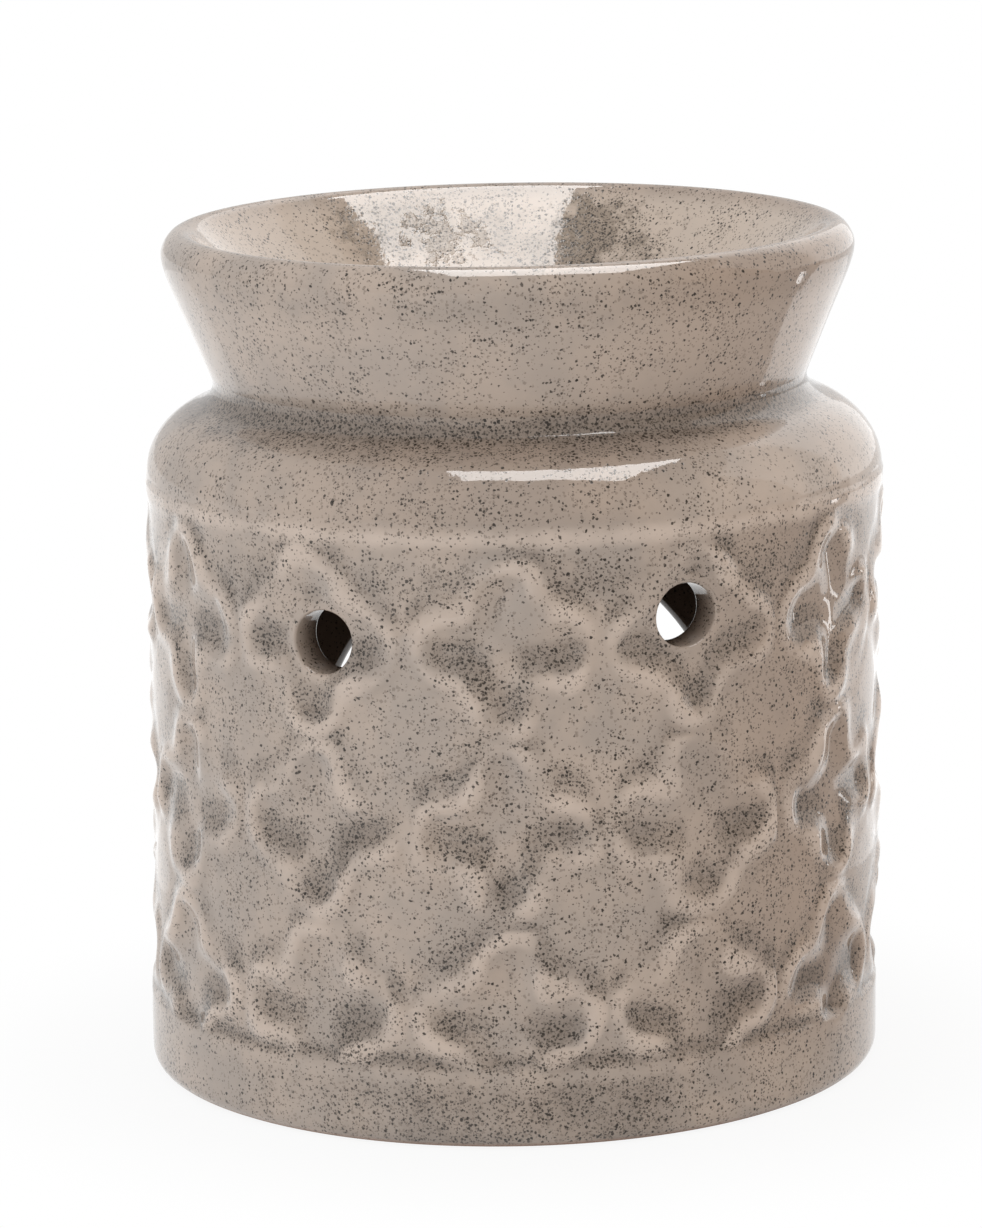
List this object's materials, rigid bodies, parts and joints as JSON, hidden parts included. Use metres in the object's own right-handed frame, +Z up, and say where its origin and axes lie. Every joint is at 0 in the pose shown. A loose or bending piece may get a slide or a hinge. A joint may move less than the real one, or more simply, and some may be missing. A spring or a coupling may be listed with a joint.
{
  "type": "wax melt burner",
  "caption": "Glazed stoneware wax melt burner with a flared dish, trellis relief, vents, an arched doorway, a tealight and a wax melt.",
  "frame": {"origin": "centre of the foot ring, on the surface that the burner stands on", "axes": "+Z up; the front with the two vents faces -Y; +X to the right seen from the front; the arched doorway is on +Y"},
  "size_m": [0.1002, 0.1002, 0.1145],
  "materials": {
    "speckled_glaze": "glossy warm grey reactive glaze with dark specks, tan where it breaks over ridges, bare on the foot ring",
    "cup_aluminium": "bright drawn foil",
    "candle_wax": "satin white paraffin wax",
    "sustainer_tinplate": "dull tinplate",
    "wick_cotton": "waxed braided cotton",
    "melt_wax": "satin cream scented wax"
  },
  "bodies": {
    "burner": {"burner_body": "speckled_glaze"},
    "tealight": {"tealight_cup": "cup_aluminium"},
    "candle": {"candle_wax": "candle_wax", "wick_sustainer": "sustainer_tinplate", "wick": "wick_cotton"},
    "melt": {"wax_melt": "melt_wax"}
  },
  "joints": [
    {"name": "tealight_slide", "type": "slide", "parent": "burner", "child": "tealight", "axis": [0, 1, 0], "range_m": [0, 0.085]},
    {"name": "candle_lift", "type": "slide", "parent": "tealight", "child": "candle", "axis": [0, 0, 1], "range_m": [0, 0.025]},
    {"name": "melt_lift", "type": "slide", "parent": "burner", "child": "melt", "axis": [0, 0, 1], "range_m": [0, 0.045]}
  ]
}
